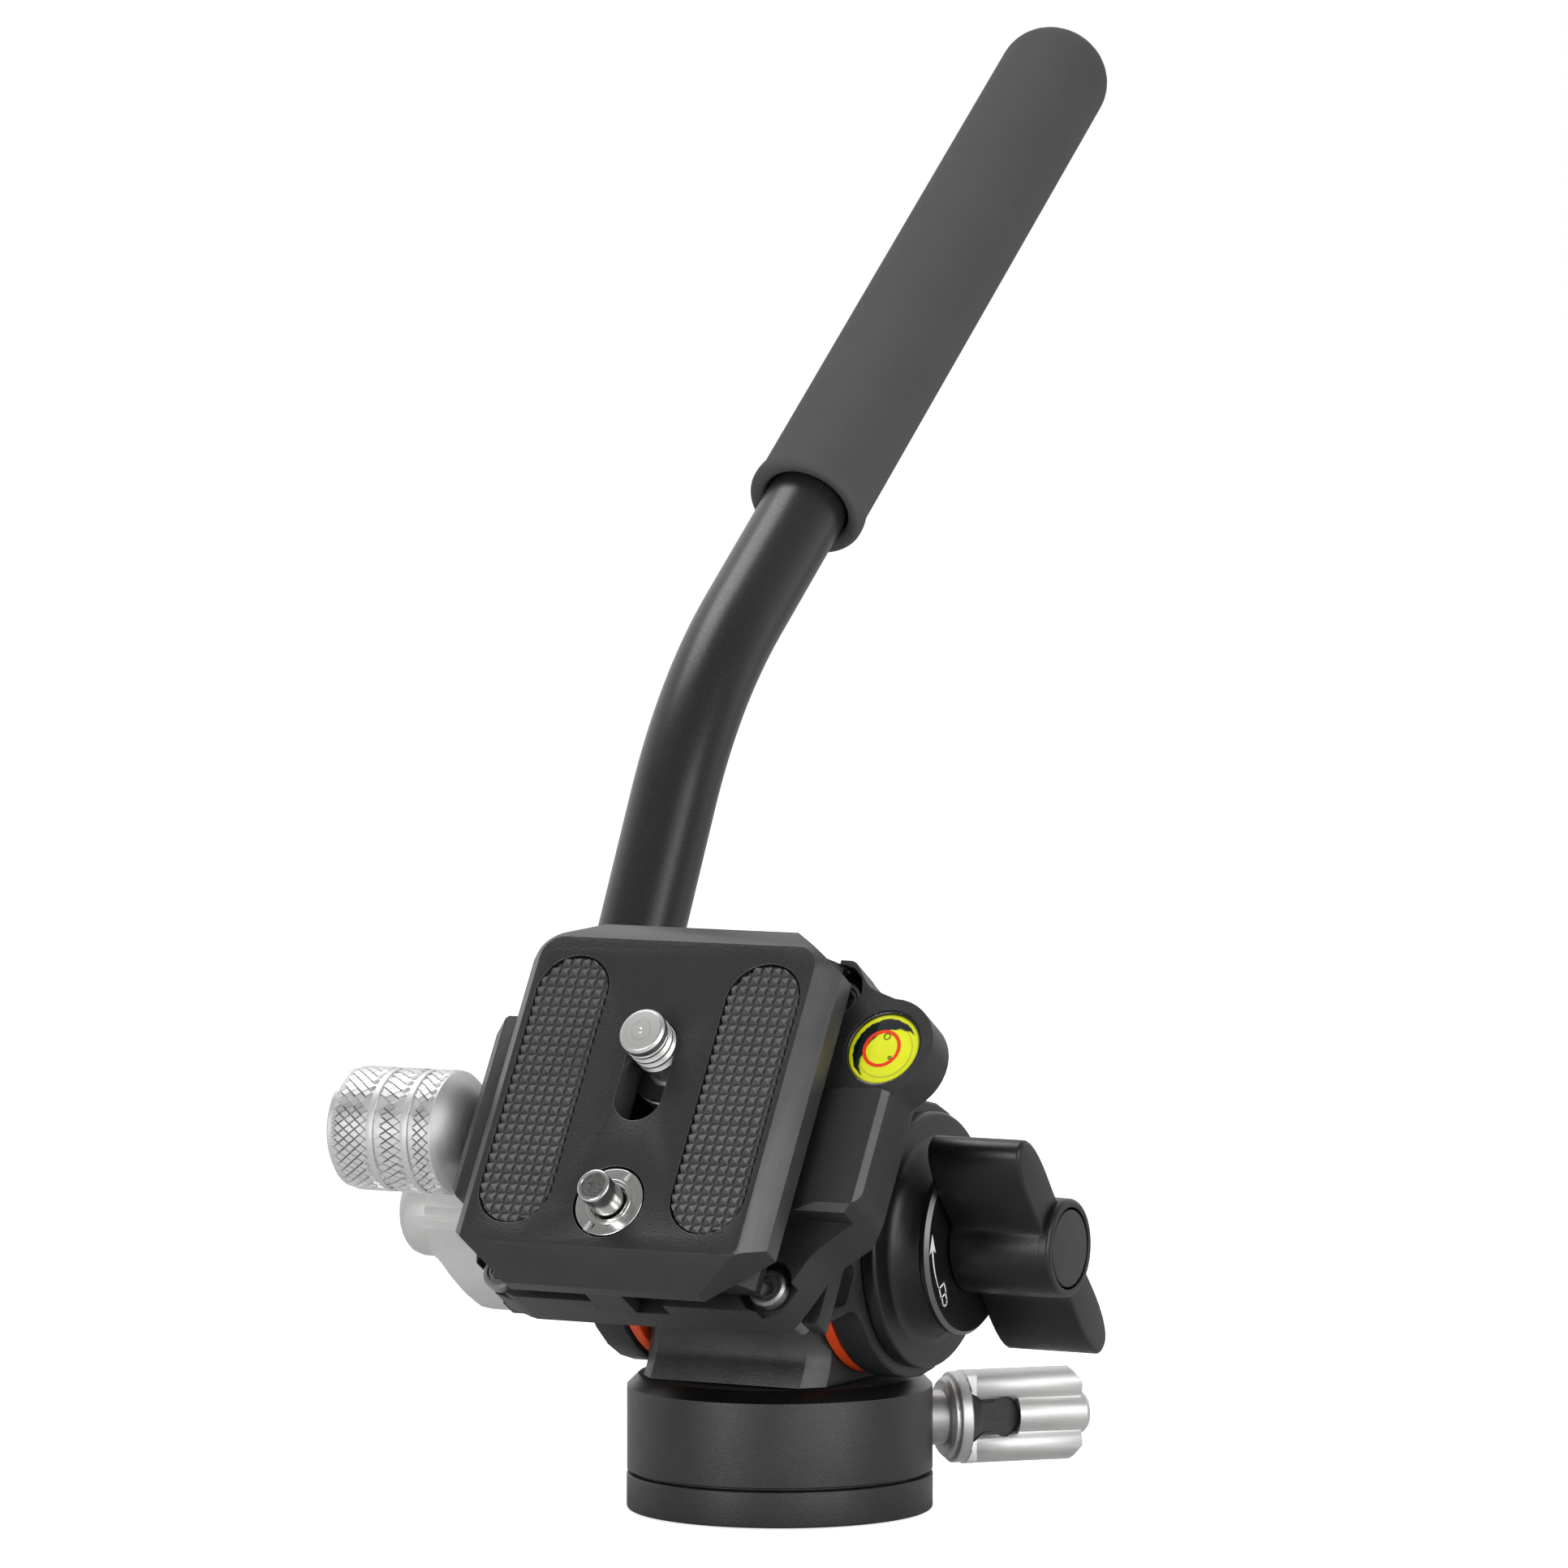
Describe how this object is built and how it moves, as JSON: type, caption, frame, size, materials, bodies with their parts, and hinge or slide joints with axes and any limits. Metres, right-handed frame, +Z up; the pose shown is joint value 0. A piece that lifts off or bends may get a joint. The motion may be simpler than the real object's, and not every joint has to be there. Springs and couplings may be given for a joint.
{
  "type": "fluid video head",
  "caption": "Compact fluid video head with panning base, tilting quick-release clamp and plate, bubble level, lock knobs and a bent pan handle.",
  "frame": {"origin": "on the pan axis, in the bottom face of the base", "axes": "+Z up along the pan axis, -Y to the front where the lens points, +X to the right along the tilt axis"},
  "size_m": [0.0968, 0.2024, 0.1959],
  "materials": {
    "black_anodised": "black anodised, fine blasted",
    "silver_anodised": "clear anodised, satin",
    "steel": "turned",
    "brass": "turned",
    "orange_plastic": "moulded, satin",
    "black_plastic": "moulded, satin",
    "white_plastic": "machined",
    "rubber": "moulded pyramids",
    "grip_foam": "closed-cell foam, matte",
    "level_fluid": "clear vial with green fluid"
  },
  "bodies": {
    "base": {"tripod_base": "black_anodised", "tripod_thread_insert": "steel", "pan_thrust_washer": "black_plastic", "pan_spindle": "steel", "pan_retaining_nut": "brass"},
    "pan_body": {"pan_housing": "black_anodised", "saddle_screw_1": "steel", "saddle_screw_2": "steel", "tilt_saddle": "black_anodised", "tilt_bush_left": "brass", "tilt_bush_right": "brass", "friction_ring_left": "orange_plastic", "friction_ring_right": "orange_plastic"},
    "pan_lock": {"pan_lock_knob": "silver_anodised"},
    "pan_shoe": {"pan_lock_shoe": "white_plastic"},
    "tilt_body": {"tilt_axle": "steel", "tilt_damper_disc_left": "black_plastic", "tilt_damper_disc_right": "black_plastic", "cheek_left": "black_anodised", "cheek_right": "black_anodised", "right_cover": "black_anodised", "tilt_lock_dial": "black_anodised", "left_cover": "black_anodised", "clamp_base": "black_anodised", "platform_screw_front_right": "steel", "platform_screw_front_left": "steel", "platform_screw_rear_right": "steel", "platform_screw_rear_left": "steel", "jaw_guide_pin_1": "steel", "jaw_guide_pin_2": "steel", "level_vial": "level_fluid"},
    "tilt_lock": {"tilt_lock_knob": "black_anodised", "tilt_knob_cap": "silver_anodised", "tilt_lock_screw": "steel"},
    "jaw": {"movable_jaw": "black_anodised"},
    "clamp_lock": {"clamp_knob": "silver_anodised", "clamp_screw": "steel"},
    "plate": {"camera_plate": "black_anodised", "plate_pad_left": "rubber", "plate_pad_right": "rubber", "video_pin_seat": "steel"},
    "screw_washer": {"camera_screw_washer": "black_plastic"},
    "mount_screw": {"camera_screw": "steel"},
    "anti_twist_pin": {"video_pin": "steel", "video_pin_spring": "steel"},
    "handle": {"handle_hub": "black_anodised", "handle_tube": "black_anodised", "handle_grip": "grip_foam"},
    "handle_lock": {"handle_lock_knob": "silver_anodised", "handle_lock_screw": "steel"}
  },
  "joints": [
    {"name": "pan", "type": "hinge", "parent": "base", "child": "pan_body", "pos_m": [0, 0, 0], "axis": [0, 0, 1], "continuous": true},
    {"name": "pan_lock_turn", "type": "hinge", "parent": "pan_body", "child": "pan_lock", "pos_m": [0, 0, 0.0108], "axis": [0.7071, 0.7071, 0], "range_deg": [-90, 30]},
    {"name": "pan_shoe_slide", "type": "slide", "parent": "pan_body", "child": "pan_shoe", "axis": [0.7071, 0.7071, 0], "range_m": [-0.00026, 0.0001]},
    {"name": "tilt", "type": "hinge", "parent": "pan_body", "child": "tilt_body", "pos_m": [0, 0, 0.0362], "axis": [1, 0, 0], "range_deg": [-133.3, 31.7]},
    {"name": "tilt_lock_turn", "type": "hinge", "parent": "tilt_body", "child": "tilt_lock", "pos_m": [0, 0, 0.0362], "axis": [1, 0, 0], "range_deg": [-30, 90]},
    {"name": "jaw_slide", "type": "slide", "parent": "tilt_body", "child": "jaw", "axis": [-1, 0, 0], "range_m": [0, 0.0035]},
    {"name": "clamp_turn", "type": "hinge", "parent": "jaw", "child": "clamp_lock", "pos_m": [0, -0.02701, 0.04994], "axis": [-1, 0, 0], "range_deg": [0, 1574]},
    {"name": "plate_slide", "type": "slide", "parent": "tilt_body", "child": "plate", "axis": [0, -0.5255, -0.8508], "range_m": [-0.001, 0.02]},
    {"name": "screw_slide", "type": "slide", "parent": "plate", "child": "screw_washer", "axis": [0, -0.5255, -0.8508], "range_m": [0, 0.0075]},
    {"name": "camera_screw_turn", "type": "hinge", "parent": "screw_washer", "child": "mount_screw", "pos_m": [0, -0.03125, 0.06173], "axis": [0, -0.8508, 0.5255], "continuous": true},
    {"name": "video_pin_press", "type": "slide", "parent": "plate", "child": "anti_twist_pin", "axis": [0, -0.8508, 0.5255], "range_m": [-0.0035, 0], "stiffness_N_per_m": 600, "springref_m": 0.001, "deforming": ["video_pin_spring"]},
    {"name": "handle_swing", "type": "hinge", "parent": "tilt_body", "child": "handle", "pos_m": [0, 0, 0.0362], "axis": [1, 0, 0], "range_deg": [-40, 45]},
    {"name": "handle_lock_turn", "type": "hinge", "parent": "handle", "child": "handle_lock", "pos_m": [0, 0, 0.0362], "axis": [-1, 0, 0], "range_deg": [-30, 90]}
  ],
  "couplings": [
    {"joint": "jaw_slide", "follows": "clamp_turn", "m_per_rad": 0.00012732},
    {"joint": "pan_shoe_slide", "follows": "pan_lock_turn", "m_per_rad": 0.00015915}
  ]
}
